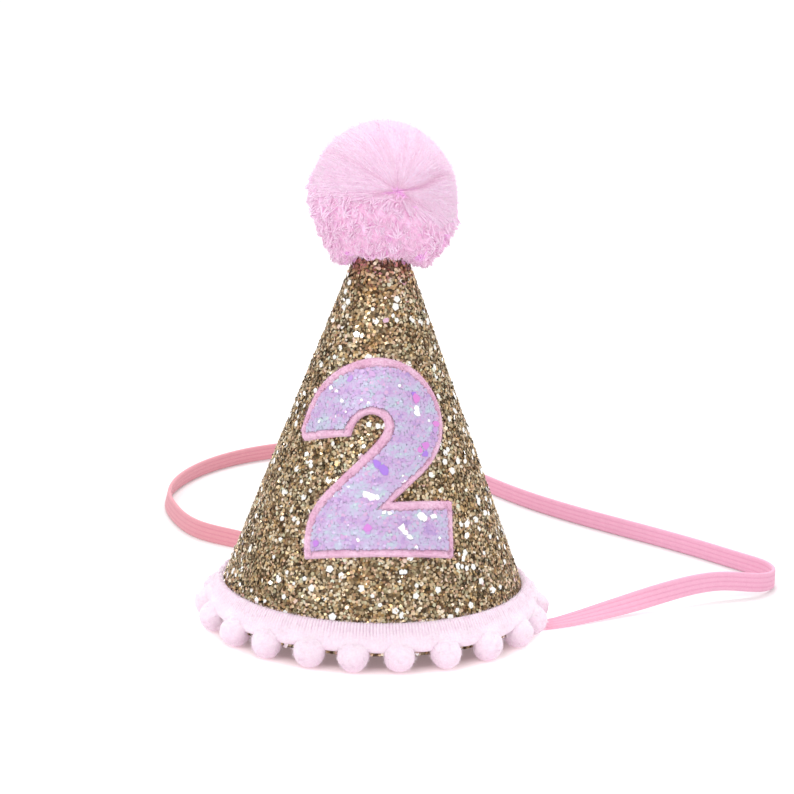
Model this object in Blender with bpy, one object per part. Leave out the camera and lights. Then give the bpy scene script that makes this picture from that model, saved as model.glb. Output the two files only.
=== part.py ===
"""A toddler's mini party hat: a glitter cone with a felt number 2, a fringe of small pompoms,
a yarn pompom on the tip and a flat elastic band. Metres, +Z up, the front towards -Y.
The origin is on the table, under the middle of the hat."""

import math

import bmesh
import bpy
import numpy as np
from mathutils import Vector

MM = 0.001
GAP = 0.3 * MM

# Cone: the outer face of the glitter sheet runs to this virtual apex.
APEX_Z = 127.0 * MM
HALF_ANGLE = math.radians(20.65)
RIM_Z = 8.0 * MM
TIP_Z = 104.2 * MM
SHEET = 1.0 * MM
LAP_RISE = 0.9 * MM
LAP_FROM, LAP_FULL, LAP_EDGE = 145.0, 168.0, 180.0
LINER = 1.5 * MM
LINER_TOP_Z = 100.5 * MM

# Fringe: a gimp braid with small pompoms sewn under its lower edge.
BALLS = 22
FIRST_BALL = 11.1
BALL_PITCH = 360.0 / BALLS
BALL_RING = 47.7 * MM
BALL_RADIUS = 4.85 * MM
BALL_Z = 4.6 * MM
BRAID_TOP_Z = 13.2 * MM
BRAID_TOP_GAP = 0.45 * MM
BRAID_THICK = 1.0 * MM
BRAID_BULGE = (45.1 * MM, 10.9 * MM)
BRAID_EDGE = (46.7 * MM, 9.0 * MM)
BRAID_GRIP = 19.0
RIM_GRIP = 135.0
BRAID_SEAM = 0.5

# Number: flat shapes in millimetres, u to the right and v up the slant, bent round the cone.
FELT = 1.3 * MM
FACE = 0.8 * MM
NUMBER_SLANT = 109.0 * MM
FACE_INSET = 1.9
FACE_SHIFT = (0.75, 0.1)
CREASES = range(-20, 24, 4)
NUMBER_FOOT = [(-19.2, 0.0), (24.2, 1.6), (23.6, 17.0)]
NUMBER_OUTER = [(4.8, 15.4), (11.4, 21.8), (18.0, 29.2), (20.7, 38.0), (18.6, 45.8),
                (11.4, 53.0), (1.0, 55.7), (-10.2, 53.2), (-19.2, 46.2), (-23.5, 36.4)]
NUMBER_TIP = [(-22.4, 33.7)]
NUMBER_INNER = [(-7.2, 34.2), (-5.4, 38.3), (-1.0, 40.4), (2.7, 38.6), (2.7, 35.0),
                (-3.2, 27.9), (-11.4, 20.2), (-17.2, 13.6), (-19.4, 6.6)]

# Top pompom, nodding and swaying on the yarn knot that sits in the open tip.
POM_RADIUS = 20.6 * MM
POM_Z = 125.3 * MM
PIVOT_Z = 105.5 * MM
KNOT_RADIUS = 2.2 * MM
YARN_RADIUS = 1.25 * MM
TIE_TOP_Z = 123.0 * MM
ANCHOR_Z, ANCHOR_THICK = 95.6 * MM, 1.6 * MM
STOPPER_RADIUS = 2.6 * MM

# Elastic band, standing on its edge. Its middle line in millimetres, from the patch inside the
# hat's right side, out between two small pompoms, round behind and back in to the left patch.
BAND_WIDTH = 6.0 * MM
BAND_THICK = 1.2 * MM
BAND_ROUTE = [
    (22.0, 32.4, 12.6), (29.7, 25.6, 9.6), (32.4, 15.7, 4.8), (33.4, 5.6, 3.0),
    (38.9, -1.8, 1.7), (47.5, -4.4, 0.85), (54.8, -2.5, 1.1), (63.1, 2.5, 1.8),
    (76.5, 10.3, 3.5), (92.0, 19.6, 5.6), (107.0, 28.0, 5.9), (118.7, 32.8, 4.3),
    (124.7, 40.9, 3.3), (124.1, 50.1, 3.1), (118.0, 58.2, 3.1), (105.0, 73.0, 3.1),
    (86.4, 91.8, 3.1), (67.7, 110.3, 3.1), (48.5, 133.5, 3.1), (32.0, 159.5, 3.1),
    (13.0, 182.0, 3.1), (-12.0, 194.5, 3.15), (-35.0, 190.5, 3.2), (-54.0, 175.5, 3.15),
    (-67.5, 152.5, 3.1), (-73.0, 122.0, 3.1), (-67.8, 96.5, 3.1), (-57.0, 76.8, 3.15),
    (-42.0, 66.0, 3.1), (-33.0, 53.5, 3.1), (-27.6, 38.6, 3.1), (-26.0, 28.6, 3.1),
    (-29.5, 20.4, 3.6), (-35.4, 14.6, 6.6), (-38.5, 7.2, 10.4), (-39.1, -0.5, 12.6),
]
# How far the band's top tips to the left of its way, in degrees, at each point of the route.
BAND_LEAN = [-20.65, -15, 12, 42, 72, 88, 84, 72, 45, 15, 0, 0, 0, 0, 0, 0, 0, 0, 0, 0, 0, 5,
             12, 20, 27, 28, 20, 5, 0, 0, 0, 0, 0, 7, 14, 20.65]
BAND_STEPS = 2
END_Z = 12.6 * MM
END_SPAN = 20.0
RIGHT_END_FROM = 147.2
LEFT_END_FROM = 271.8
PATCH = 1.0 * MM
PATCH_START, PATCH_BEYOND = 1.5, 3.0
PATCH_CLEAR, PATCH_STEP = 0.8, 2.0
PATCH_MARGIN = 0.6 * MM
PATCH_LOW_Z, PATCH_HIGH_Z = 8.4 * MM, 18.4 * MM

GOLD = (0.42, 0.31, 0.17)
PALE_PINK = (0.95, 0.78, 0.88)
FELT_PINK = (0.93, 0.45, 0.68)
ELASTIC_PINK = (0.90, 0.36, 0.52)
LILAC = (0.62, 0.52, 0.80)
CREAM = (0.83, 0.78, 0.70)


def clear_scene():
    for thing in list(bpy.data.objects):
        bpy.data.objects.remove(thing)


def material(name, colour, roughness, metallic=0.0):
    mat = bpy.data.materials.new(name)
    mat.use_nodes = True
    shader = mat.node_tree.nodes["Principled BSDF"]
    shader.inputs["Base Color"].default_value = (*colour, 1.0)
    shader.inputs["Roughness"].default_value = roughness
    shader.inputs["Metallic"].default_value = metallic
    mat.diffuse_color = (*colour, 1.0)
    return mat


def add_mesh(name, bm, mat):
    """Turns a bmesh into a named object with outward faces and smooth round sides."""
    bmesh.ops.recalc_face_normals(bm, faces=bm.faces)
    mesh = bpy.data.meshes.new(name)
    bm.to_mesh(mesh)
    bm.free()
    mesh.shade_smooth()
    mesh.set_sharp_from_angle(angle=math.radians(40))
    mesh.materials.append(mat)
    thing = bpy.data.objects.new(name, mesh)
    bpy.context.collection.objects.link(thing)
    return thing


def around(degrees, radius, z):
    """A point at an angle from the front (-Y), positive towards +X."""
    turn = math.radians(degrees)
    return Vector((radius * math.sin(turn), -radius * math.cos(turn), z))


def cone_radius(z, inside=0.0):
    """Radius of the glitter sheet's outer face, or of a face this far inside it."""
    return (APEX_Z - z) * math.tan(HALF_ANGLE) - inside / math.cos(HALF_ANGLE)


def lap_rise(degrees):
    """How far the glued lap at the back lifts the glitter sheet's outer face."""
    if not LAP_FROM < degrees <= LAP_EDGE:
        return 0.0
    return LAP_RISE * min(1.0, (degrees - LAP_FROM) / (LAP_FULL - LAP_FROM))


def sweep(name, sections, mat, closed):
    """Joins equal loops of points into one body, capping both ends unless it closes."""
    bm = bmesh.new()
    rings = [[bm.verts.new(point) for point in section] for section in sections]
    for i in range(len(rings) - (0 if closed else 1)):
        first, second = rings[i], rings[(i + 1) % len(rings)]
        for j in range(len(first)):
            k = (j + 1) % len(first)
            bm.faces.new((first[j], first[k], second[k], second[j]))
    if not closed:
        bm.faces.new(rings[0])
        bm.faces.new(rings[-1])
    return add_mesh(name, bm, mat)


def turned(name, profile, mat, steps=24):
    """Turns an outline of (radius, z) points about the Z axis."""
    bm = bmesh.new()
    verts = [bm.verts.new((radius, 0.0, z)) for radius, z in profile]
    edges = [bm.edges.new((a, b)) for a, b in zip(verts, verts[1:])]
    if profile[0][0] > 0.0:
        edges.append(bm.edges.new((verts[-1], verts[0])))
    bmesh.ops.spin(bm, geom=verts + edges, axis=(0, 0, 1), cent=(0, 0, 0),
                   angle=2 * math.pi, steps=steps, use_merge=True)
    bmesh.ops.remove_doubles(bm, verts=bm.verts, dist=1e-6)
    return add_mesh(name, bm, mat)


def arc(radius, middle_z, start, end, steps):
    """Points of a circle about (0, middle_z), by angle in degrees up from level."""
    turns = [math.radians(start + (end - start) * i / steps) for i in range(steps + 1)]
    return [(radius * math.cos(t), middle_z + radius * math.sin(t)) for t in turns]


def smooth_curve(points, steps):
    """A natural cubic spline through the points, with this many steps between each two."""
    points = np.array(points, float)
    count = len(points)
    spans = np.sqrt(np.linalg.norm(np.diff(points, axis=0), axis=1))
    system, right = np.eye(count), np.zeros_like(points)
    for i in range(1, count - 1):
        before, after = spans[i - 1], spans[i]
        system[i, i - 1:i + 2] = before, 2 * (before + after), after
        right[i] = 6 * ((points[i + 1] - points[i]) / after
                        - (points[i] - points[i - 1]) / before)
    bends = np.linalg.solve(system, right)
    line = []
    for i, span in enumerate(spans):
        for step in range(steps):
            b = step / steps
            a = 1.0 - b
            pull = ((a ** 3 - a) * bends[i] + (b ** 3 - b) * bends[i + 1]) * span ** 2 / 6
            line.append(a * points[i] + b * points[i + 1] + pull)
    line.append(points[-1])
    return line


def sheet_angles(step):
    """Angles round the hat, with a close pair at the lap's edge."""
    return [LAP_EDGE + 0.2] + [LAP_EDGE + step * i for i in range(1, int(360 / step) + 1)]


def glitter_cone(mat):
    sections = []
    for degrees in sheet_angles(5.0):
        rise = lap_rise(degrees if degrees <= 360.0 else degrees - 360.0)
        heights = [RIM_Z + (TIP_Z - RIM_Z) * i / 3 for i in range(4)]
        outer = [around(degrees, cone_radius(z) + rise, z) for z in heights]
        inner = [around(degrees, cone_radius(z, SHEET), z) for z in reversed(heights)]
        sections.append(outer + inner)
    return sweep("glitter_cone", sections, mat, closed=True)


def cone_liner(mat):
    outer, inner = SHEET + GAP, SHEET + GAP + LINER
    profile = [(cone_radius(z, depth), z) for z, depth in
               ((RIM_Z, outer), (LINER_TOP_Z, outer), (LINER_TOP_Z, inner), (RIM_Z, inner))]
    return turned("cone_liner", profile, mat, steps=64)


def trim_braid(mat):
    """A band that hugs the cone at its top and flares over the small pompoms."""
    sections = []
    steps = 90
    start, end = LAP_EDGE + BRAID_SEAM, LAP_EDGE + 360.0 - BRAID_SEAM
    for i in range(steps + 1):
        degrees = start + (end - start) * i / steps
        rise = lap_rise(degrees if degrees <= 360.0 else degrees - 360.0)
        top = cone_radius(BRAID_TOP_Z) + BRAID_TOP_GAP + rise
        bulge, edge = BRAID_BULGE[0] + 0.6 * rise, BRAID_EDGE[0]
        line = ((top, BRAID_TOP_Z), (bulge, BRAID_BULGE[1]), (edge, BRAID_EDGE[1]))
        lean = 0.7 * BRAID_THICK
        back = [(r + lean, z + lean) for r, z in reversed(line[1:])]
        front = [(top + BRAID_THICK, BRAID_TOP_Z)]
        sections.append([around(degrees, r, z) for r, z in line + tuple(back + front)])
    return sweep("trim_braid", sections, mat, closed=False)


def cut_flat(bm, point, normal):
    """Slices off what lies past a plane and closes the cut."""
    everything = bm.verts[:] + bm.edges[:] + bm.faces[:]
    cut = bmesh.ops.bisect_plane(bm, geom=everything, plane_co=point, plane_no=normal,
                                 clear_outer=True, dist=1e-6)
    rim = [item for item in cut["geom_cut"] if isinstance(item, bmesh.types.BMEdge)]
    bmesh.ops.edgenet_fill(bm, edges=rim)


def trim_pompoms(mat):
    """Small pompoms, pressed flat on the table and where the braid holds them."""
    bm = bmesh.new()
    bmesh.ops.create_uvsphere(bm, u_segments=14, v_segments=9, radius=BALL_RADIUS)
    cut_flat(bm, Vector((0, 0, -BALL_Z)), Vector((0, 0, -1)))
    held = ((BRAID_EDGE, 90.0 - BRAID_GRIP),
            ((cone_radius(RIM_Z) + LAP_RISE, RIM_Z), RIM_GRIP))
    for (radius, z), degrees in held:
        upward = Vector((math.cos(math.radians(degrees)), 0, math.sin(math.radians(degrees))))
        cut_flat(bm, Vector((radius - BALL_RING, 0, z - BALL_Z)) - upward * GAP, upward)
    first = add_mesh("trim_pompom_01", bm, mat)
    for i in range(BALLS):
        degrees = FIRST_BALL + i * BALL_PITCH
        thing = first
        if i:
            thing = bpy.data.objects.new(f"trim_pompom_{i + 1:02d}", first.data)
            bpy.context.collection.objects.link(thing)
        thing.location = around(degrees, BALL_RING, BALL_Z)
        thing.rotation_euler.z = math.radians(degrees - 90.0)


def number_outline():
    """The number 2 as flat points in millimetres, corners kept and round stretches smooth."""
    points = NUMBER_FOOT + smooth_curve(NUMBER_OUTER, 4) + NUMBER_TIP
    points += smooth_curve(NUMBER_INNER + NUMBER_FOOT[:1], 4)[:-1]
    return [Vector((u, v)) for u, v in points]


def inset(outline, depth, shift):
    """The outline drawn in by a depth all round, then moved."""
    moved = []
    for i, point in enumerate(outline):
        before = (point - outline[i - 1]).normalized()
        after = (outline[(i + 1) % len(outline)] - point).normalized()
        inward = Vector((-before.y - after.y, before.x + after.x)).normalized()
        reach = depth / max(0.5, inward.dot(Vector((-after.y, after.x))))
        moved.append(point + inward * reach + Vector(shift))
    return moved


def on_cone(u, v, lift):
    """Bends a flat point in millimetres round the cone, at a lift from the glitter sheet."""
    face = GAP + FELT
    down = NUMBER_SLANT - v * MM
    slant = math.hypot(u * MM, down)
    turn = math.degrees(math.atan2(u * MM, down) / math.sin(HALF_ANGLE))
    apex = APEX_Z + face / math.sin(HALF_ANGLE)
    radius = slant * math.sin(HALF_ANGLE) + (lift - face) * math.cos(HALF_ANGLE)
    z = apex - slant * math.cos(HALF_ANGLE) + (lift - face) * math.sin(HALF_ANGLE)
    return around(turn, radius, z)


def bent_plate(name, outline, low, high, mat):
    """A flat outline bent round the cone as a plate between two lifts."""
    flat = bmesh.new()
    flat.faces.new([flat.verts.new((p.x, p.y, 0.0)) for p in outline])
    flat.normal_update()
    bmesh.ops.triangulate(flat, faces=flat.faces[:])
    for line in CREASES:
        everything = flat.verts[:] + flat.edges[:] + flat.faces[:]
        bmesh.ops.bisect_plane(flat, geom=everything, plane_co=(line, 0, 0), plane_no=(1, 0, 0))
    flat.normal_update()
    bmesh.ops.triangulate(flat, faces=flat.faces[:])
    flat.verts.index_update()
    bm = bmesh.new()
    under = [bm.verts.new(on_cone(v.co.x, v.co.y, low)) for v in flat.verts]
    over = [bm.verts.new(on_cone(v.co.x, v.co.y, high)) for v in flat.verts]
    for face in flat.faces:
        bm.faces.new([over[v.index] for v in face.verts])
        bm.faces.new([under[v.index] for v in reversed(face.verts)])
    for edge in flat.edges:
        if edge.is_boundary:
            a, b = (v.index for v in edge.verts)
            bm.faces.new((under[a], under[b], over[b], over[a]))
    flat.free()
    return add_mesh(name, bm, mat)


def number(felt, face):
    outline = number_outline()
    bent_plate("number_felt_backing", outline, GAP, GAP + FELT, felt)
    low = 2 * GAP + FELT
    bent_plate("number_glitter_face", inset(outline, FACE_INSET, FACE_SHIFT), low, low + FACE,
               face)


def yarn_pompom(mat):
    """A ball with a stepped bore from below, for the knot and the tie."""
    knot_bore, tie_bore = KNOT_RADIUS + 2 * GAP, YARN_RADIUS + GAP
    mouth = -math.degrees(math.acos(knot_bore / POM_RADIUS))
    step_z = PIVOT_Z + KNOT_RADIUS + GAP
    profile = [(0.0, POM_Z + POM_RADIUS)] + arc(POM_RADIUS, POM_Z, 80.0, mouth, 14)
    profile += [(knot_bore, step_z), (tie_bore, step_z)]
    profile += [(tie_bore, TIE_TOP_Z + GAP), (0.0, TIE_TOP_Z + GAP)]
    return turned("yarn_pompom", profile, mat, steps=32)


def pompom_tie(mat):
    low = PIVOT_Z + KNOT_RADIUS + GAP
    profile = [(0.0, TIE_TOP_Z), (0.8 * YARN_RADIUS, TIE_TOP_Z)]
    profile += [(YARN_RADIUS, TIE_TOP_Z - MM), (YARN_RADIUS, low), (0.0, low)]
    return turned("pompom_tie", profile, mat, steps=12)


def tie_knot(mat):
    profile = [(0.0, PIVOT_Z + KNOT_RADIUS)] + arc(KNOT_RADIUS, PIVOT_Z, 60.0, -60.0, 4)
    profile.append((0.0, PIVOT_Z - KNOT_RADIUS))
    return turned("tie_knot", profile, mat, steps=14)


def tie_tail(mat):
    """The yarn's end, through the felt disc to its stopper knot."""
    top = PIVOT_Z - KNOT_RADIUS - GAP
    stopper_top = ANCHOR_Z - GAP
    stopper_z = stopper_top - STOPPER_RADIUS
    profile = [(0.0, top), (YARN_RADIUS, top), (YARN_RADIUS, stopper_top)]
    profile += [(0.7 * STOPPER_RADIUS, stopper_top)]
    profile += arc(STOPPER_RADIUS, stopper_z, 30.0, -60.0, 3)
    profile.append((0.0, stopper_z - STOPPER_RADIUS))
    return turned("tie_tail", profile, mat, steps=14)


def tip_anchor(mat):
    low, high = ANCHOR_Z, ANCHOR_Z + ANCHOR_THICK
    edge = cone_radius(high, SHEET + GAP + LINER + GAP)
    hole = YARN_RADIUS + GAP
    return turned("tip_anchor", [(hole, high), (edge, high), (edge, low), (hole, low)], mat)


def band_profile():
    """The band's rounded cross-section, as a hidden guide curve."""
    half, thick, corner = BAND_WIDTH / 2, BAND_THICK / 2, 0.45 * BAND_THICK / 2
    points = [(thick - corner, half), (thick, half - corner)]
    points += [(x, -y) for x, y in reversed(points)]
    points += [(-x, y) for x, y in reversed(points)]
    data = bpy.data.curves.new("band_section", "CURVE")
    spline = data.splines.new("POLY")
    spline.points.add(len(points) - 1)
    for point, (x, y) in zip(spline.points, points):
        point.co = (x, y, 0.0, 1.0)
    spline.use_cyclic_u = True
    guide = bpy.data.objects.new("band_section", data)
    guide.hide_render = True
    guide.display_type = "WIRE"
    bpy.context.collection.objects.link(guide)
    return guide


def elastic_strap(mat):
    """The free band: against the liner at its two ends, on edge or tipped over between them."""
    line = smooth_curve(BAND_ROUTE, BAND_STEPS)
    data = bpy.data.curves.new("elastic_strap", "CURVE")
    data.dimensions = "3D"
    data.twist_mode = "Z_UP"
    data.bevel_mode = "OBJECT"
    data.bevel_object = band_profile()
    data.use_fill_caps = True
    data.materials.append(mat)
    spline = data.splines.new("POLY")
    spline.points.add(len(line) - 1)
    leans = np.interp(np.arange(len(line)) / BAND_STEPS, np.arange(len(BAND_LEAN)), BAND_LEAN)
    for point, place, lean in zip(spline.points, line, leans):
        point.co = (*(place * MM), 1.0)
        point.tilt = -math.radians(lean)
    thing = bpy.data.objects.new("elastic_strap", data)
    bpy.context.collection.objects.link(thing)
    return thing


def wall_point(degrees, z, depth):
    """A point inside the cone, this deep under the liner's inner face."""
    return around(degrees, cone_radius(z, SHEET + GAP + LINER + depth), z)


def strap_end(name, start, mat):
    """The glued end of the band, flat on the liner."""
    rise = BAND_WIDTH / 2 * math.cos(HALF_ANGLE)
    sections = []
    for i in range(7):
        degrees = start + END_SPAN * i / 6
        sections.append([
            wall_point(degrees, END_Z - rise, GAP), wall_point(degrees, END_Z + rise, GAP),
            wall_point(degrees, END_Z + rise, GAP + BAND_THICK),
            wall_point(degrees, END_Z - rise, GAP + BAND_THICK)])
    return sweep(name, sections, mat, closed=False)


def strap_patch(name, start, mat):
    """A felt patch, raised over the band's end and pressed to the liner beside it."""
    raised = 2 * GAP + BAND_THICK
    rise = BAND_WIDTH / 2 * math.cos(HALF_ANGLE) + GAP
    low_z, high_z = END_Z - rise - PATCH_MARGIN, END_Z + rise + PATCH_MARGIN
    shape = [(PATCH_LOW_Z, GAP), (low_z - 0.2 * MM, GAP), (low_z, raised), (high_z, raised),
             (high_z + MM, GAP), (PATCH_HIGH_Z, GAP)]
    step_at = END_SPAN + PATCH_CLEAR
    covered = [PATCH_START + (step_at - PATCH_START) * i / 10 for i in range(11)]
    pressed = [step_at + PATCH_STEP + PATCH_BEYOND * i / 2 for i in range(3)]
    sections = []
    for turn in covered + pressed:
        degrees = start + turn
        over = 1.0 if turn in covered else 0.0
        outer = [(z, GAP + (depth - GAP) * over) for z, depth in shape]
        inner = [(z, depth + PATCH) for z, depth in reversed(outer)]
        sections.append([wall_point(degrees, z, depth) for z, depth in outer + inner])
    return sweep(name, sections, mat, closed=False)


def build():
    clear_scene()
    gold = material("gold_glitter", GOLD, 0.35, 0.8)
    pale = material("pale_pink_fringe", PALE_PINK, 0.9)
    felt = material("pink_felt", FELT_PINK, 0.95)
    lilac = material("lilac_glitter", LILAC, 0.3, 0.2)
    cream = material("cream_felt", CREAM, 0.95)
    yarn = material("pink_yarn", PALE_PINK, 0.9)
    elastic = material("pink_elastic", ELASTIC_PINK, 0.8)
    glitter_cone(gold)
    cone_liner(cream)
    number(felt, lilac)
    trim_braid(pale)
    trim_pompoms(pale)
    yarn_pompom(yarn)
    pompom_tie(yarn)
    tie_knot(yarn)
    tie_tail(yarn)
    tip_anchor(cream)
    elastic_strap(elastic)
    for side, start in (("right", RIGHT_END_FROM), ("left", LEFT_END_FROM)):
        strap_end(f"strap_end_{side}", start, elastic)
        strap_patch(f"strap_patch_{side}", start, felt)


build()
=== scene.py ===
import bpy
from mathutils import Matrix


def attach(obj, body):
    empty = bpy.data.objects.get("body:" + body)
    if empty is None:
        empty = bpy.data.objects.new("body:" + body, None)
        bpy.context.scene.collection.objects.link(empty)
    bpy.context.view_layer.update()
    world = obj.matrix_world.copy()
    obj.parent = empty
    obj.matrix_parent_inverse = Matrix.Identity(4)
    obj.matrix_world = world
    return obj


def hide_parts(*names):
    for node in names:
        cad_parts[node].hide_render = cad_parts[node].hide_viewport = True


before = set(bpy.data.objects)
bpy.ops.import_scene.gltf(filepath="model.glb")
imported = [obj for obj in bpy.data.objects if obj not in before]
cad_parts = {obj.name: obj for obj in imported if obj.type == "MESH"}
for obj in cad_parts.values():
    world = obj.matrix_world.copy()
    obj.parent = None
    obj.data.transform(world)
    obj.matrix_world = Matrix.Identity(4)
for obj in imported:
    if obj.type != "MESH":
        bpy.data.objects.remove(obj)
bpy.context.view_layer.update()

import math

import bmesh
import bpy
import numpy as np
from mathutils import Matrix, Vector
from mathutils.geometry import delaunay_2d_cdt

MM = 0.001
TURN = 2 * math.pi

# The hat: the glitter sheet's outer face runs to a virtual apex. Turns are in degrees.
APEX_Z = 127 * MM
HALF_ANGLE = math.radians(20.65)
SLOPE = math.tan(HALF_ANGLE)
TIP_Z = 108 * MM
SHEET = 1 * MM
LIP_Z, NOTCH_Z = 4.3 * MM, 8 * MM
NOTCH_AT, NOTCH_HALF = 215.6, 6.5
LAP_FROM, LAP_FULL, LAP_EDGE, LAP_RISE = 145, 168, 180, 0.9 * MM

BALLS, FIRST_BALL = 22, 11.1
BALL_PITCH = 360 / BALLS
BALL_RING, BALL_Z = 47.7 * MM, 4.6 * MM
BALL_SHAPE = np.array([4.5, 4.25, 4.7])
STRAY = {0: -1.1, 1: -1.4, 2: -0.6, 3: 0.9, 18: 1.6, 19: 1.1, 20: 1.4}  # degrees off its place
BALL_LEAN, BALL_LIFT, BALL_FLAT_Z = 1.6 * MM, 0.35 * MM, 0.06 * MM
BALL_HAIRS = 900
BRAID_RIBS, BRAID_GAP = 320, 0.4
RIB_DEPTH, RIB_OUT, RIB_UP = 0.34 * MM, 0.78, 0.62
BRAID_PATH = [  # radius, z, what a ball below adds to each, what a rib adds to z, how far ribs show
    (43.6, 12.3, 0, 0, 0, 0), (43.9, 12.85, 0, 0, 0.15, 0.3), (44.5, 13.1, 0, 0, 0.15, 0.8),
    (45.2, 12.75, 0, 0, 0, 1), (45.85, 11.95, 0, 0, 0, 1), (46.4, 11.15, 0, 0, 0, 0.9),
    (46.9, 10.4, 0.2, 0, 0, 0.5), (47.4, 9.6, 0.5, 0.1, 0, 0.2), (47.8, 8.7, 1.1, 0.3, 0, 0.05),
    (48.1, 7.7, 1.5, 0.7, 0, 0), (48.15, 6.8, 1.4, 1.1, 0, 0), (47.9, 6, 0.9, 1.5, 0, 0),
    (47.4, 5.55, 0.2, 1.2, 0, 0), (46.95, 5.8, 0.1, 1.1, 0, 0), (46.6, 7, 0, 0.6, 0, 0),
    (46, 8.8, 0, 0, 0, 0), (45.3, 10.2, 0, 0, 0, 0), (44.4, 11.3, 0, 0, 0, 0),
    (43.8, 12, 0, 0, 0, 0)]
# The braid's outer face for its loose threads: share of the way down, radius, z.
BRAID_FACE = ((0, 0.2, 0.5, 0.7, 0.9, 1), (43.9, 44.7, 46.5, 47.6, 48.1, 47.7),
              (13.1, 13.2, 10.9, 9, 6.8, 5.7))
BRAID_THREADS = 11000

NUMBER_SLANT = 109 * MM
NUMBER_LIFT = 1.6 * MM
NUMBER_FOOT = [(-19.2, 0), (24.2, 1.6), (23.6, 17)]
NUMBER_OUTER = [(4.8, 15.4), (11.4, 21.8), (18, 29.2), (20.7, 38), (18.6, 45.8),
                (11.4, 53), (1, 55.7), (-10.2, 53.2), (-19.2, 46.2), (-23.5, 36.4)]
NUMBER_TIP = [(-22.4, 33.7)]
NUMBER_INNER = [(-7.2, 34.2), (-5.4, 38.3), (-1, 40.4), (2.7, 38.6), (2.7, 35),
                (-3.2, 27.9), (-11.4, 20.2), (-17.2, 13.6), (-19.4, 6.6)]
FELT_GROW, FELT_SHIFT = 0.35, (-0.3, 0.4)
FACE_INSET, FACE_SHIFT = 2.05, (-0.05, 0.05)
# Lifts from the glitter sheet, in millimetres.
FELT_LOW, FELT_RIM, FELT_RISE, FELT_GROOVE, FELT_ROUGH = 0.1, 0.45, 1.45, 0.55, 0.12
FACE_LOW, FACE_RIM, FACE_RISE, FACE_ROUGH = 1.3, 1.75, 0.35, 0.07
FLAKE_LIFT, SEQUIN_LIFT = 2.15, 2.33
FELT_FIBRES = 30000

POM_MIDDLE = np.array([0, 0, 125.3 * MM])
POM_RADIUS = 20.6 * MM
PARTING = np.array([0.21, -0.96, 0.18])
# The parting's lines: way round it, reach along the surface, width, all in degrees, and depth.
STAR_LINES = ((14, 50, 8, 0.95), (192, 19, 10, 0.8), (95, 26, 7, 0.3),
              (-30, 27, 16, 0.7), (150, 36, 7, 0.25), (-160, 34, 10, 0.3))

STREAKS = (17, 29, 43, 61)  # combed streaks counted round the parting
# How many strands, clumps of tufts, hanging strands and hairs.
POM_STRANDS, POM_CLUMPS, POM_SKIRT, POM_FUZZ = 10000, 560, 1100, 17000
STRAND_ALONG = (0, 0.5, 0.8, 1)
TUFT_RADII, COMBED_RADII = (0.24, 0.29, 0.26, 0.14), (0.33, 0.37, 0.3, 0.12)

BAND_WIDTH, BAND_THICK = 6 * MM, 1.2 * MM
BAND_ROUTE = [
    (22, 32.4, 12.6), (29.7, 25.6, 9.6), (32.4, 15.7, 4.8), (33.4, 5.6, 3),
    (38.9, -1.8, 1.7), (47.5, -4.4, 0.85), (54.8, -2.5, 1.1), (63.1, 2.5, 1.8),
    (76.5, 10.3, 3.5), (92, 19.6, 5.6), (107, 28, 5.9), (118.7, 32.8, 4.3),
    (124.7, 40.9, 3.3), (124.1, 50.1, 3.1), (118, 58.2, 3.1), (105, 73, 3.1),
    (86.4, 91.8, 3.1), (67.7, 110.3, 3.1), (48.5, 133.5, 3.1), (32, 159.5, 3.1),
    (13, 182, 3.1), (-12, 194.5, 3.15), (-35, 190.5, 3.2), (-54, 175.5, 3.15),
    (-67.5, 152.5, 3.1), (-73, 122, 3.1), (-67.8, 96.5, 3.1), (-57, 76.8, 3.15),
    (-42, 66, 3.1), (-33, 53.5, 3.1), (-27.6, 38.6, 3.1), (-26, 28.6, 3.1),
    (-29.5, 20.4, 3.6), (-35.4, 14.6, 6.6), (-38.5, 7.2, 10.4), (-39.1, -0.5, 12.6),
]
# How far the band's top tips to the left of its way, in degrees, at each point of the route.
BAND_LEAN = [-20.65, -15, 12, 42, 72, 88, 84, 72, 45, 15, *[0] * 11, 5, 8, 11, 13, 13, 10, 5,
             *[0] * 5, 7, 14, 20.65]
END_Z, END_SPAN, END_DEPTH = 12.6 * MM, 20, 2.8 * MM
RIGHT_END_FROM, LEFT_END_FROM = 147.2, 271.8
ROUTE_STEPS = 16

FIBRE_THICK, GLITTER_THICK, FLAKE_THICK = 0.05 * MM, 0.1 * MM, 0.08 * MM
GLINT_WHITE_TONE = 0.97

CAMERA_PLACE = (0.0056, -0.6193, 0.2042)
CAMERA_PITCH, CAMERA_ROLL = math.radians(12.49), math.radians(1.62)
CAMERA_SENSOR, CAMERA_LENS = 36, 99.75
LIGHTS = [  # name, place, aim, size, power, colour
    ("key", (-0.35, -0.7, 0.95), (0, 0, 0.06), 0.6, 3.2, (1, 0.985, 0.97)),
    ("top", (0.1, 0.5, 1.05), (0.02, 0.05, 0), 0.35, 5, (0.97, 0.985, 1))]
FLOOR_REACH = 6
# The floor's colour and glow by distance from the hat's axis, in metres: the pink tint under the
# rim is painted bounce light, and the glow is painted light, low by the fringe balls to paint their
# shadow.
FLOOR_PAINTED_BOUNCE = ((0.045, (1, 0.8, 0.82)), (0.053, (1, 0.99, 0.99)))
FLOOR_PAINTED_GLOW = ((0.043, 0.22), (0.052, 0.78), (0.085, 0.3), (0.12, 0.08), (0.25, 0.12), (0.6, 0.38))

rng = np.random.default_rng(2027)


# ---- camera, light, floor

def new_object(name, data):
    thing = bpy.data.objects.new(name, data)
    bpy.context.scene.collection.objects.link(thing)
    return thing


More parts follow.
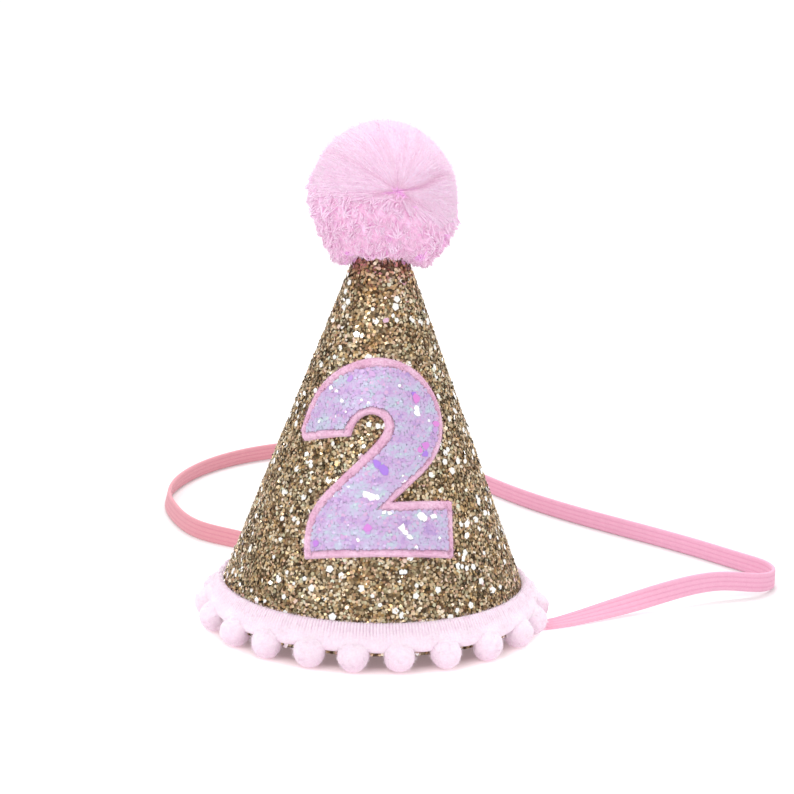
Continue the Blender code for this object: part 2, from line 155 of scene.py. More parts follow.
def aim_camera():
    data = bpy.data.cameras.new("camera")
    data.sensor_width = CAMERA_SENSOR
    data.lens = CAMERA_LENS
    data.clip_start, data.clip_end = 0.05, 20
    camera = new_object("camera", data)
    ahead = Vector((0, math.cos(CAMERA_PITCH), -math.sin(CAMERA_PITCH)))
    across = Vector((1, 0, 0))
    up = across.cross(ahead)
    right = math.cos(CAMERA_ROLL) * across + math.sin(CAMERA_ROLL) * up
    top = math.cos(CAMERA_ROLL) * up - math.sin(CAMERA_ROLL) * across
    turn = Matrix((right, top, -ahead)).transposed()
    camera.matrix_world = Matrix.Translation(CAMERA_PLACE) @ turn.to_4x4()
    bpy.context.scene.camera = camera


def soft_light(name, place, aim, size, power, colour):
    data = bpy.data.lights.new(name, "AREA")
    data.shape = "DISK"
    data.size = size
    data.energy = power
    data.color = colour
    light = new_object(name, data)
    light.location = place
    light.rotation_euler = (Vector(aim) - Vector(place)).to_track_quat("-Z", "Y").to_euler()


def studio():
    scene = bpy.context.scene
    scene.view_settings.view_transform = "Standard"
    world = bpy.data.worlds.new("studio")
    scene.world = world
    world.use_nodes = True
    sky = world.node_tree.nodes["Background"].inputs
    sky["Color"].default_value = (1, 1, 1, 1)
    sky["Strength"].default_value = 1
    for light in LIGHTS:
        soft_light(*light)
    bm = bmesh.new()
    bmesh.ops.create_grid(bm, x_segments=1, y_segments=1, size=FLOOR_REACH)
    mesh = bpy.data.meshes.new("floor")
    bm.to_mesh(mesh)
    bm.free()
    floor = new_object("floor", mesh)
    mat, tree, shader = new_material("white_paper_painted_glow", 0.85, {"Specular IOR Level": 0.15})
    paper = ramp(tree, noise(tree, 900), ((0.3, 0.76), (0.7, 0.79)))
    away = node(tree, "ShaderNodeVectorMath", {0: object_place(tree)}, operation="LENGTH")
    away = away.outputs["Value"]
    # The floor's pink tint near the rim is painted bounce light, and its glow is painted light and
    # painted shadow.
    tint = multiplied(tree, paper, ramp(tree, away, FLOOR_PAINTED_BOUNCE))
    wire(tree, shader, {"Base Color": tint, "Emission Color": tint,
                        "Emission Strength": ramp(tree, away, FLOOR_PAINTED_GLOW)})
    mesh.materials.append(mat)


# ---- material building

def new_material(name, roughness, values=()):
    mat = bpy.data.materials.new(name)
    mat.use_nodes = True
    shader = mat.node_tree.nodes["Principled BSDF"]
    shader.inputs["Roughness"].default_value = roughness
    wire(mat.node_tree, shader, dict(values))
    return mat, mat.node_tree, shader


def wire(tree, made, inputs):
    """Gives a node's inputs their values, or links them to another node's outputs."""
    for key, value in inputs.items():
        if isinstance(value, bpy.types.NodeSocket):
            tree.links.new(value, made.inputs[key])
        else:
            made.inputs[key].default_value = value


def node(tree, kind, inputs, **settings):
    made = tree.nodes.new(kind)
    for key, value in settings.items():
        setattr(made, key, value)
    wire(tree, made, inputs)
    return made


def object_place(tree):
    return node(tree, "ShaderNodeTexCoord", {}).outputs["Object"]


def object_axis(tree, axis):
    return node(tree, "ShaderNodeSeparateXYZ", {"Vector": object_place(tree)}).outputs[axis]


def noise(tree, scale, detail=2, roughness=0.5):
    made = node(tree, "ShaderNodeTexNoise", {"Vector": object_place(tree), "Scale": scale,
                                             "Detail": detail, "Roughness": roughness})
    return made.outputs["Fac"]


def cells(tree, scale, channel):
    """Small cells: the distance within each, and one channel of each one's own colour."""
    made = node(tree, "ShaderNodeTexVoronoi", {"Vector": object_place(tree), "Scale": scale})
    part = node(tree, "ShaderNodeSeparateColor", {"Color": made.outputs["Color"]})
    return made.outputs["Distance"], part.outputs[channel]


def maths(tree, operation, *values):
    made = node(tree, "ShaderNodeMath", dict(enumerate(values)), operation=operation)
    return made.outputs["Value"]


def ramp(tree, value, stops, interpolation="LINEAR"):
    """A colour ramp; a stop's colour may be one grey."""
    made = node(tree, "ShaderNodeValToRGB", {"Fac": value})
    band = made.color_ramp
    band.interpolation = interpolation
    while len(band.elements) < len(stops):
        band.elements.new(0.5)
    for element, (place, colour) in zip(band.elements, stops):
        element.position = place
        element.color = (*(colour if isinstance(colour, tuple) else (colour,) * 3), 1)
    return made.outputs["Color"]


def mixed(tree, share, first, second, mode="MIX"):
    made = node(tree, "ShaderNodeMix", {0: share, 6: first, 7: second}, data_type="RGBA",
                blend_type=mode)
    return made.outputs[2]


def multiplied(tree, first, second):
    return mixed(tree, 1, first, second, "MULTIPLY")


def bump(tree, shader, height, distance, strength):
    made = node(tree, "ShaderNodeBump", {"Height": height, "Distance": distance,
                                         "Strength": strength})
    wire(tree, shader, {"Normal": made.outputs["Normal"]})


def tone_of(tree):
    return node(tree, "ShaderNodeAttribute", {}, attribute_name="tone").outputs["Fac"]


GOLD = ((0, (0.055, 0.04, 0.028)), (0.12, (0.18, 0.135, 0.09)), (0.38, (0.46, 0.36, 0.24)),
        (0.66, (0.74, 0.63, 0.48)), (0.86, (0.94, 0.87, 0.74)), (0.95, (1, 0.99, 0.97)))
GOLD_HUES = ((0, (1, 0.94, 0.84)), (0.36, (1, 0.8, 0.74)), (0.52, (0.84, 0.92, 0.84)),
             (0.68, (1, 1, 1)), (0.84, (1, 0.84, 0.6)))
GOLD_BASE = ((0, (0.03, 0.018, 0.01)), (0.6, (0.14, 0.09, 0.045)), (1, (0.34, 0.24, 0.13)))
GOLD_CLOUD = ((0.32, (0.84, 0.76, 0.66)), (0.62, 1))
TIP_PAINTED_BOUNCE = ((0.097, 1), (0.107, (1, 0.88, 0.9)))  # by height in metres: painted pink bounce light and shade from the pompom on the cone's tip
SILVER, SILVER_FROM = (1, 0.99, 0.97, 1), 0.95
HUE_REPEATS = 173
LILAC_BASE = ((0.3, (0.54, 0.4, 0.64)), (0.5, (0.53, 0.48, 0.65)), (0.7, (0.46, 0.6, 0.62)))
LILAC_FLECK = ((0, (0.72, 0.7, 0.75)), (1, 1))
PEARL = ((0, (0.44, 0.3, 0.6)), (0.14, (0.58, 0.38, 0.66)), (0.28, (0.56, 0.47, 0.69)),
         (0.44, (0.5, 0.56, 0.68)), (0.56, (0.58, 0.72, 0.69)), (0.62, (0.68, 0.42, 0.66)),
         (0.72, (0.4, 0.2, 0.74)), (0.82, (0.72, 0.24, 0.66)), (0.92, 1))
# Trim tone 0 is painted shade, in the braid's grooves and under the balls.
TRIM = ((0, (0.6, 0.4, 0.52)), (1, (0.9, 0.78, 0.855)))
# Yarn tone 0 is the saturated pink painted into the parting's creases, 0.42 the dull pink of
# painted shade among the tufts, 1 the pale tip.
YARN = ((0, (0.99, 0.48, 0.91)), (0.2, (0.95, 0.52, 0.85)), (0.42, (0.85, 0.51, 0.71)),
        (1, (0.96, 0.69, 0.885)))
YARN_GRAIN = ((0.3, (0.9, 0.86, 0.9)), (0.65, 1))
YARN_BLEED = (1, 0.55, 0.85)
ELASTIC = ((0, (0.68, 0.26, 0.4)), (0.5, (0.82, 0.375, 0.54)), (1, (0.87, 0.445, 0.6)))
ELASTIC_GRAIN = ((0.3, (0.92, 0.9, 0.91)), (0.65, 1))
ELASTIC_PAINTED_SIDE_SHADE = ((0.3, (0.84, 0.73, 0.62)), (0.75, (0.96, 0.91, 0.89)), (1, 1))  # left to right: painted shade, darker and warmer towards the left


def glitter_base():
    mat, tree, shader = new_material("gold_glitter_base", 0.55, {"Metallic": 0.35})
    distance, own = cells(tree, 1400, "Red")
    wire(tree, shader, {"Base Color": ramp(tree, own, GOLD_BASE)})
    bump(tree, shader, distance, 0.0003, 0.8)
    return mat


def glitter_flake():
    """Foil flakes: tone runs from dark gold, 0, to silver; its last digits pick the hue."""
    mat, tree, shader = new_material("gold_glitter_flakes", 0.28, {"Metallic": 1})
    tone = tone_of(tree)
    pick = maths(tree, "FRACT", maths(tree, "MULTIPLY", tone, HUE_REPEATS))
    gold = multiplied(tree, ramp(tree, tone, GOLD), ramp(tree, pick, GOLD_HUES, "CONSTANT"))
    # Pink towards the tip: painted bounce light and shade from the pompom.
    gold = multiplied(tree, gold, ramp(tree, object_axis(tree, "Z"), TIP_PAINTED_BOUNCE))
    gold = multiplied(tree, gold, ramp(tree, noise(tree, 120), GOLD_CLOUD))
    silver = maths(tree, "GREATER_THAN", tone, SILVER_FROM)
    wire(tree, shader, {"Base Color": mixed(tree, silver, gold, SILVER),
                        "Roughness": ramp(tree, tone, ((0, 0.45), (0.6, 0.3), (1, 0.2)))})
    return mat


def felt_material(name, low, high, scale=1500):
    mat, tree, shader = new_material(name, 0.95, {"Sheen Weight": 0.25, "Sheen Roughness": 0.5,
                                                  "Specular IOR Level": 0.2})
    fine = noise(tree, scale, 5, 0.65)
    share = maths(tree, "MULTIPLY_ADD", fine, noise(tree, scale / 9), 0.15)
    wire(tree, shader, {"Base Color": ramp(tree, share, ((0.25, low), (0.6, high)))})
    bump(tree, shader, fine, 0.0004, 0.5)
    return mat


def face_base():
    mat, tree, shader = new_material("lilac_glitter_base", 0.35, {"Metallic": 0.1})
    distance, own = cells(tree, 1900, "Green")
    tint = multiplied(tree, ramp(tree, noise(tree, 160), LILAC_BASE),
                      ramp(tree, own, LILAC_FLECK))
    wire(tree, shader, {"Base Color": tint})
    bump(tree, shader, distance, 0.0002, 0.5)
    return mat


def face_flake():
    """Thin pearly flakes: tone picks the colour, from lilac through mint to magenta, and white for
    painted glints.
    """
    mat, tree, shader = new_material("iridescent_flakes", 0.42, {
        "Metallic": 0.25, "Coat Weight": 0.3, "Coat Roughness": 0.3})
    wire(tree, shader, {"Base Color": ramp(tree, tone_of(tree), PEARL)})
    return mat


def yarn_material(name, stops, scale, translucent, glow):
    """Soft acrylic yarn: tone runs from the shaded root, 0, to the pale tip, 1."""
    # The emission is painted light: the yarn and trim glow to lift their shade.
    mat, tree, shader = new_material(name, 0.95, {
        "Emission Strength": glow, "Subsurface Weight": translucent,
        "Subsurface Radius": YARN_BLEED, "Subsurface Scale": 0.002, "Sheen Weight": 0.35,
        "Sheen Roughness": 0.4, "Specular IOR Level": 0.15})
    fine = noise(tree, scale, 4, 0.7)
    colour = multiplied(tree, ramp(tree, tone_of(tree), stops), ramp(tree, fine, YARN_GRAIN))
    wire(tree, shader, {"Base Color": colour, "Emission Color": colour})
    bump(tree, shader, fine, 0.0002, 0.5)
    return mat


def elastic_material():
    """Knitted elastic: tone is 0 in the grooves and 1 on the ribs, the grooves' darker colour
    painted shade.
    """
    mat, tree, shader = new_material("pink_elastic", 0.8, {"Sheen Weight": 0.15,
                                                           "Specular IOR Level": 0.3})
    fine = noise(tree, 2600, 3)
    # The band is painted darker and warmer towards its left: painted shade.
    side = maths(tree, "MULTIPLY_ADD", object_axis(tree, "X"), 5, 0.5)
    painted_shade = multiplied(tree, ramp(tree, tone_of(tree), ELASTIC), ramp(tree, side, ELASTIC_PAINTED_SIDE_SHADE))
    wire(tree, shader, {"Base Color": multiplied(tree, painted_shade, ramp(tree, fine, ELASTIC_GRAIN))})
    bump(tree, shader, fine, 0.00015, 0.4)
    return mat


# ---- geometry helpers

def polar(degrees, radius, z):
    """Points at an angle from the front (-Y), positive towards +X."""
    turn = np.radians(degrees)
    return np.stack(np.broadcast_arrays(radius * np.sin(turn), -radius * np.cos(turn), z), -1)


def cone_radius(z, inside=0):
    return (APEX_Z - z) * SLOPE - inside / math.cos(HALF_ANGLE)


def lap_rise(degrees):
    """How far the glued lap at the back lifts the sheet's outer face."""
    degrees = np.mod(degrees, 360)
    rise = LAP_RISE * np.clip((degrees - LAP_FROM) / (LAP_FULL - LAP_FROM), 0, 1)
    return np.where(degrees <= LAP_EDGE, rise, 0)


def lip_z(degrees):
    """The sheet's lower edge, notched where the band passes under it on its edge."""
    away = np.abs(np.mod(degrees - NOTCH_AT + 180, 360) - 180)
    return np.where(away < NOTCH_HALF, NOTCH_Z, LIP_Z)


def unit(vectors):
    return vectors / np.maximum(np.linalg.norm(vectors, axis=-1, keepdims=True), 1e-12)


def add_piece(name, points, faces, mat, body, replaces=(), tones=None, smooth=True):
    """A mesh piece from points and lists of faces, riding on a body."""
    mesh = bpy.data.meshes.new(name)
    mesh.from_pydata(np.asarray(points).tolist(), [],
                     [face for group in faces for face in np.asarray(group).tolist()])
    mesh.polygons.foreach_set("use_smooth", [smooth] * len(mesh.polygons))
    if tones is not None:
        mesh.attributes.new("tone", "FLOAT", "POINT").data.foreach_set(
            "value", np.asarray(tones, np.float32))
    mesh.materials.append(mat)
    mesh.update()
    thing = new_object(name, mesh)
    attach(thing, body)
    if replaces:
        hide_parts(*replaces)
    return thing


def grid_faces(rows, columns, close_rows=False):
    """Quads joining a rows by columns grid of points, each row closed."""
    i = np.arange(rows if close_rows else rows - 1)
    i, j = (a.ravel() for a in np.meshgrid(i, np.arange(columns), indexing="ij"))
    i2, j2 = (i + 1) % rows, (j + 1) % columns
    return np.stack((i * columns + j, i * columns + j2, i2 * columns + j2, i2 * columns + j), 1)


def swept_faces(rows, columns, inward):
    """Quads of a closed section swept along open rows, and its two end caps."""
    ring = np.arange(columns)[None]
    low, high = ring[:, ::inward], ring[:, ::-inward] + (rows - 1) * columns
    return grid_faces(rows, columns), low, high


def tubes(lines, radii, sides):
    """Closed tubes along many lines at once: points, quads and end caps."""
    count, steps = lines.shape[:2]
    along = unit(np.gradient(lines, axis=1))
    helper = np.where(np.abs(along[:, :1, 2:3]) < 0.8, [[[0, 0, 1]]], [[[1, 0, 0]]])
    side = unit(np.cross(along, np.broadcast_to(helper, along.shape)))
    other = np.cross(along, side)
    turn = np.arange(sides) * TURN / sides
    ring = (side[:, :, None] * np.cos(turn)[:, None] + other[:, :, None] * np.sin(turn)[:, None])
    points = (lines[:, :, None] + ring * radii[:, :, None, None]).reshape(-1, 3)
    one = grid_faces(steps, sides)[:, ::-1]
    offset = np.arange(count) * steps * sides
    quads = (one[None] + offset[:, None, None]).reshape(-1, 4)
    low = offset[:, None] + np.arange(sides)[None]
    high = low[:, ::-1] + (steps - 1) * sides
    return points, quads, np.concatenate((low, high))


def chips(name, places, normals, sizes, thick, tones, mat, sides, uneven=0.15):
    """A piece of small closed plates, each facing its normal, with uneven corners."""
    count = len(places)
    helper = unit(rng.normal(size=(count, 3)))
    across = unit(np.cross(normals, helper))
    other = np.cross(normals, across)
    turn = np.arange(sides) * TURN / sides
    ring = (across[:, None] * np.cos(turn)[:, None] + other[:, None] * np.sin(turn)[:, None])
    corner = sizes[:, None, None] * rng.uniform(1 - uneven, 1 + uneven, (count, sides, 1))
    edge = places[:, None] + ring * corner
    depth = (normals * thick / 2)[:, None]
    points = np.concatenate((edge - depth, edge + depth), 1).reshape(-1, 3)
    start = np.arange(count)[:, None] * 2 * sides
    j = np.arange(sides)
    k = (j + 1) % sides
    walls = np.stack((j, k, k + sides, j + sides), 1)
    walls = (walls[None] + start[:, :, None]).reshape(-1, 4)
    ends = np.concatenate((start + j[::-1][None], start + sides + j[None]))
    add_piece(name, points, [walls, ends], mat, "hat", (), np.repeat(tones, 2 * sides),
              smooth=False)


def fibres(roots, outward, lengths, bend, thick=FIBRE_THICK):
    """Fine tapering hairs, each leaning its own way."""
    lean = unit(rng.normal(size=roots.shape))
    t = np.linspace(0, 1, 3)[None, :, None]
    lines = roots[:, None] + lengths[:, None, None] * (
        outward[:, None] * t + lean[:, None] * bend * t ** 2)
    radii = np.broadcast_to(thick * (1 - 0.7 * t[..., 0]), lines.shape[:2])
    return tubes(lines, radii, 3)


def ripple(points, lengths, seed):
    """A smooth pseudo-random value of about -1 to 1 at each point."""
    waves = np.random.default_rng(seed)
    total = np.zeros(len(points))
    for length in lengths:
        for _ in range(6):
            way = unit(waves.normal(size=3)) * TURN / length
            total += np.sin(points @ way + waves.uniform(0, TURN))
    return total / (1.8 * math.sqrt(6 * len(lengths)))


def smooth_curve(points, steps):
    """A natural cubic spline through the points, with this many steps between each two."""
    points = np.array(points, float)
    count = len(points)
    spans = np.sqrt(np.linalg.norm(np.diff(points, axis=0), axis=1))
    system, right = np.eye(count), np.zeros_like(points)
    for i in range(1, count - 1):
        before, after = spans[i - 1], spans[i]
        system[i, i - 1:i + 2] = before, 2 * (before + after), after
        right[i] = 6 * ((points[i + 1] - points[i]) / after
                        - (points[i] - points[i - 1]) / before)
    bends = np.linalg.solve(system, right)
    line = []
    for i, span in enumerate(spans):
        for step in range(steps):
            b = step / steps
            a = 1 - b
            pull = ((a ** 3 - a) * bends[i] + (b ** 3 - b) * bends[i + 1]) * span ** 2 / 6
            line.append(a * points[i] + b * points[i + 1] + pull)
    line.append(points[-1])
    return np.array(line)


# ---- elastic band

def band_section():
    """Points round the band's cross-section (across, up), with ribs, and the tone of each."""
    half, thick = BAND_WIDTH / 2, BAND_THICK / 2
    up = np.linspace(-1, 1, 25)
    rib = 1 - np.exp(-(np.abs(np.mod(up * 2 + 0.5, 1) - 0.5) / 0.14) ** 2) * (np.abs(up) < 0.75)
    edge = np.sqrt(np.clip(1 - np.abs(up) ** 10, 0, 1))
    across = thick * (0.84 + 0.16 * rib) * (0.25 + 0.75 * edge)
    out = np.stack((across, up * half), 1)
    back = np.stack((-across[::-1], up[::-1] * half), 1)
    return np.concatenate((out, back)), np.concatenate((rib, rib[::-1]))


def band_piece(name, line, leans, mat, replaces):
    """The ribbed band swept along a line, standing on its edge and leaning as told."""
    section, rib = band_section()
    along = unit(np.gradient(line, axis=0))
    level = unit(np.cross(along, [0, 0, 1]))
    up = np.cross(level, along)
    lean = np.asarray(leans)[:, None]
    across = level * np.cos(lean) + up * np.sin(lean)
    rise = up * np.cos(lean) - level * np.sin(lean)
    points = (line[:, None] + across[:, None] * section[None, :, :1]
              + rise[:, None] * section[None, :, 1:])
    rows, columns = points.shape[:2]
    weave = 0.5 + 0.5 * np.sin(np.arange(rows) * 2.1)
    # Tone is lower in the grooves between ribs, painted shade; the weave term is the knit's own
    # pattern.
    tones = ((0.35 + 0.65 * rib[None]) * (0.9 + 0.1 * weave[:, None])).ravel()
    return add_piece(name, points.reshape(-1, 3), swept_faces(rows, columns, -1), mat, "hat",
                     replaces, tones)


def elastic_band(mat):
    line = smooth_curve(BAND_ROUTE, ROUTE_STEPS) * MM
    leans = np.interp(np.arange(len(line)) / ROUTE_STEPS, np.arange(len(BAND_LEAN)), BAND_LEAN)
    band = band_piece("elastic_band", line, np.radians(leans), mat, ["elastic_strap"])
    for side, start in (("right", RIGHT_END_FROM), ("left", LEFT_END_FROM)):
        degrees = np.linspace(start, start + END_SPAN, 40)
        depth = END_DEPTH + 0.3 * MM + BAND_THICK / 2
        end = polar(degrees, cone_radius(END_Z, depth), END_Z)
        band_piece(f"band_end_{side}", end, np.full(len(end), HALF_ANGLE), mat,
                   [f"strap_end_{side}"])


# ---- glitter cone

def cone_frame(degrees, z, lift):
    """Points on the sheet's outer face, raised by a lift, and the face's outward normals."""
    level = polar(degrees, 1, 0)
    normal = level * math.cos(HALF_ANGLE) + [0, 0, math.sin(HALF_ANGLE)]
    radius = cone_radius(z) + lap_rise(degrees)
    return polar(degrees, radius, z) + normal * np.asarray(lift)[..., None], normal


def glitter_sheet(mat):
    """The cone's sheet, closed, with a rough outer face, a lap at the back and a low lip."""
    degrees = np.concatenate(([LAP_EDGE + 0.15], LAP_EDGE + np.arange(1, 361, 1)))
    share = np.linspace(0, 1, 70)[None]
    low = lip_z(degrees)[:, None]
    z = low + (TIP_Z - low) * share
    turn = np.broadcast_to(degrees[:, None], z.shape)
    outer, _ = cone_frame(turn, z, np.zeros(z.shape))
    rough = ripple(outer.reshape(-1, 3), (1.5 * MM, 2.6 * MM), 3).reshape(z.shape) * 0.12 * MM
    outer, _ = cone_frame(turn, z, rough)
    inner = polar(turn, cone_radius(z, SHEET), z)[:, ::-1]
    points = np.concatenate((outer, inner), 1)
    rows, columns = points.shape[:2]
    sheet = add_piece("glitter_sheet", points.reshape(-1, 3),
                      [grid_faces(rows, columns, True)], mat, "hat",
                      ["glitter_cone"])


def spread_on_cone(pitch, low_z, high_z):
    """Evenly spread, jittered places on the cone: angles in degrees and heights."""
    slant = (high_z - low_z) / math.cos(HALF_ANGLE)
    rows = int(slant / (0.87 * pitch))
    degrees, heights = [], []
    for row in range(rows + 1):
        z = low_z + (high_z - low_z) * row / rows
        count = int(TURN * cone_radius(z) / pitch)
        angle = (np.arange(count) + rng.uniform()) * 360 / count
        degrees.append(angle + rng.normal(0, 0.28, count) * 360 / count)
        heights.append(z + rng.normal(0, 0.25, count) * pitch)
    return np.concatenate(degrees) % 360, np.clip(np.concatenate(heights), low_z, high_z)


def tilted(normals, amounts):
    """Normals tipped by amounts (tangents of the tilt) in random directions."""
    return unit(normals + unit(rng.normal(size=normals.shape)) * amounts[:, None])


def glitter_flakes(mat):
    """Thousands of small chips, each tipped its own way, with a few big bright ones."""
    degrees, z = spread_on_cone(0.74 * MM, LIP_Z + 0.4 * MM, TIP_Z)
    keep = z > lip_z(degrees)
    degrees, z = degrees[keep], z[keep]
    count = len(z)
    lift = rng.uniform(0.1, 0.36, count) * MM
    places, normals = cone_frame(degrees, z, lift)
    tilt = np.abs(rng.normal(0, 0.42, count))
    sizes = rng.uniform(0.34, 0.6, count) * MM
    tone = rng.beta(1.25, 1.5, count) * 0.88
    odd = rng.uniform(size=count)
    cream = (odd > 0.014) & (odd < 0.04)
    tone[cream] = rng.uniform(0.86, 0.93, cream.sum())
    sizes[cream] *= 1.3
    bright = odd < 0.014
    sizes[bright] = rng.uniform(0.6, 1.15, bright.sum()) * MM
    tone[bright] = rng.uniform(0.96, 1, bright.sum())
    tilt[bright] *= 0.6
    normals = tilted(normals, tilt)
    places = places + normals * np.where(bright, 0.2 * MM, 0)[:, None]
    for part in range(4):
        mine = (degrees >= 90 * part) & (degrees < 90 * (part + 1))
        chips(f"glitter_flakes_{part + 1}", places[mine], normals[mine], sizes[mine],
              GLITTER_THICK, tone[mine], mat, 5)


# ---- number

def number_outline():
    points = np.concatenate((NUMBER_FOOT, smooth_curve(NUMBER_OUTER, 12), NUMBER_TIP,
                             smooth_curve(NUMBER_INNER + NUMBER_FOOT[:1], 12)[:-1]))
    return evenly(points, 1)


def evenly(points, step):
    """A closed outline with its corners kept and its sides cut to about a step."""
    out = []
    for here, after in zip(points, np.roll(points, -1, axis=0)):
        count = max(1, round(float(np.linalg.norm(after - here)) / step))
        out += [here + (after - here) * i / count for i in range(count)]
    return np.array(out)


def inset(points, depth, shift):
    """The outline drawn in by a depth all round, then moved."""
    before = unit(points - np.roll(points, 1, axis=0))
    after = unit(np.roll(points, -1, axis=0) - points)
    inward = unit(np.stack((-before[:, 1] - after[:, 1], before[:, 0] + after[:, 0]), 1))
    square = np.stack((-after[:, 1], after[:, 0]), 1)
    reach = depth / np.maximum(0.5, (inward * square).sum(1))
    return points + inward * reach[:, None] + np.array(shift)


def to_outline(points, outline):
    """Distance from each point to a closed outline."""
    nearest = np.full(len(points), 1e9)
    for here, after in zip(outline, np.roll(outline, -1, axis=0)):
        way = after - here
        share = np.clip(((points - here) @ way) / max(1e-12, way @ way), 0, 1)
        nearest = np.minimum(nearest, np.linalg.norm(points - here - share[:, None] * way, axis=1))
    return nearest


def inside(points, outline):
    """Which points lie within a closed outline."""
    result = np.zeros(len(points), bool)
    for here, after in zip(outline, np.roll(outline, -1, axis=0)):
        spans = (here[1] > points[:, 1]) != (after[1] > points[:, 1])
        rise = after[1] - here[1]
        at = here[0] + (points[:, 1] - here[1]) * (after[0] - here[0]) / (rise if rise else 1e-12)
        result ^= spans & (points[:, 0] < at)
    return result


def within(points, outline, margin):
    """Points whose first two columns lie in an outline, at least a margin from its edge."""
    points = points[inside(points, outline)]
    return points[to_outline(points[:, :2], outline) > margin]


def lattice(outline, across, up):
    """Rows of points over an outline's box."""
    lo, hi = outline.min(0), outline.max(0)
    return np.meshgrid(np.arange(lo[0], hi[0], across), np.arange(lo[1], hi[1], up))


def dome(share):
    """A quarter circle's rise, from 0 at an edge to 1."""
    return np.sqrt(1 - (1 - share) ** 2)


def flat_ripple(flat, lengths, seed):
    return ripple(np.c_[flat, np.zeros(len(flat))], lengths, seed)


def on_number(flat, lift):
    """Flat points in millimetres bent round the cone, at lifts from the glitter sheet."""
    down = NUMBER_SLANT - flat[:, 1] * MM
    slant = np.hypot(flat[:, 0] * MM, down)
    turn = np.degrees(np.arctan2(flat[:, 0] * MM, down) / math.sin(HALF_ANGLE))
    apex = APEX_Z + NUMBER_LIFT / math.sin(HALF_ANGLE)
    radius = slant * math.sin(HALF_ANGLE) + (lift - NUMBER_LIFT) * math.cos(HALF_ANGLE)
    z = apex - slant * math.cos(HALF_ANGLE) + (lift - NUMBER_LIFT) * math.sin(HALF_ANGLE)
    return polar(turn, radius, z)


def face_normal(flat):
    return unit(on_number(flat, np.full(len(flat), 1 * MM)) - on_number(flat, np.zeros(len(flat))))


def plate(name, outline, low, top_of, mat, replaces, pitch):
    """A closed plate cut to the outline and bent round the cone; top_of lifts its top."""
    u, v = lattice(outline, pitch, pitch * 0.87)
    u[::2] += pitch / 2
    fill = within(np.stack((u.ravel(), v.ravel()), 1), outline, 0.35 * pitch)
    ring = len(outline)
    flat = [Vector(p) for p in np.concatenate((outline, fill))]
    edges = [(i, (i + 1) % ring) for i in range(ring)]
    found, _, faces, *_ = delaunay_2d_cdt(flat, edges, [], 1, 1e-5)
    flat = np.array(found)
    faces = np.array(faces)
    count = len(flat)
    top = on_number(flat, top_of(flat))
    bottom = on_number(flat, np.full(count, low))
    sides = np.concatenate((faces[:, :2], faces[:, 1:], faces[:, ::2][:, ::-1]))
    keys = {tuple(edge) for edge in sides.tolist()}
    rim = np.array([edge for edge in keys if edge[::-1] not in keys])
    walls = np.stack((rim[:, 1], rim[:, 0], rim[:, 0] + count, rim[:, 1] + count), 1)
    piece = add_piece(name, np.concatenate((top, bottom)),
                      [faces, faces[:, ::-1] + count, walls], mat, "hat", replaces)
    flat = tuple((outline.max(0) - outline.min(0)) * MM)


def number(felt, face, flakes):
    outline = evenly(inset(number_outline(), -FELT_GROW, FELT_SHIFT), 0.5)
    inner = evenly(inset(number_outline(), FACE_INSET, FACE_SHIFT), 0.5)

    def felt_top(flat):
        edge = np.clip(to_outline(flat, outline) / 0.8, 0, 1)
        groove = np.clip(to_outline(flat, inner) / 0.6, 0, 1)
        rough = flat_ripple(flat, (1.1, 2.3), 5)
        return (FELT_RIM + FELT_RISE * dome(edge) - FELT_GROOVE * (1 - groove) ** 2
                + FELT_ROUGH * rough) * MM

    def face_top(flat):
        edge = np.clip(to_outline(flat, inner) / 0.5, 0, 1)
        rough = flat_ripple(flat, (1.4, 3), 6)
        return (FACE_RIM + FACE_RISE * dome(edge) + FACE_ROUGH * rough) * MM

    plate("number_felt", outline, FELT_LOW * MM, felt_top, felt,
          ["number_felt_backing"], 0.5)
    plate("number_face", inner, FACE_LOW * MM, face_top, face,
          ["number_glitter_face"], 0.6)
    u, v = lattice(inner, 0.62, 0.55)
    spots = np.stack((u.ravel(), v.ravel()), 1) + rng.normal(0, 0.16, (u.size, 2))
    spots = within(spots, inner, 0.15)
    count = len(spots)
    cloud = flat_ripple(spots, (2.6, 6), 9)
    tone = np.clip(0.25 + 0.21 * cloud + rng.normal(0, 0.06, count), 0, 0.56)
    sizes = rng.uniform(0.3, 0.62, count) * MM
    odd = rng.uniform(size=count)
    tone[odd < 0.05] = 0.62
    # A few white flakes at random: painted glints.
    white = odd > 0.995
    tone[white] = GLINT_WHITE_TONE
    normals = tilted(face_normal(spots), np.abs(rng.normal(0, 0.14, count)))
    places = on_number(spots, FLAKE_LIFT * MM + rng.uniform(0, 0.08, count) * MM)
    chips("number_flakes", places, normals, sizes, FLAKE_THICK, tone, flakes, 6)
    big_flakes(inner, flakes)
    felt_fuzz(outline, inner, felt)


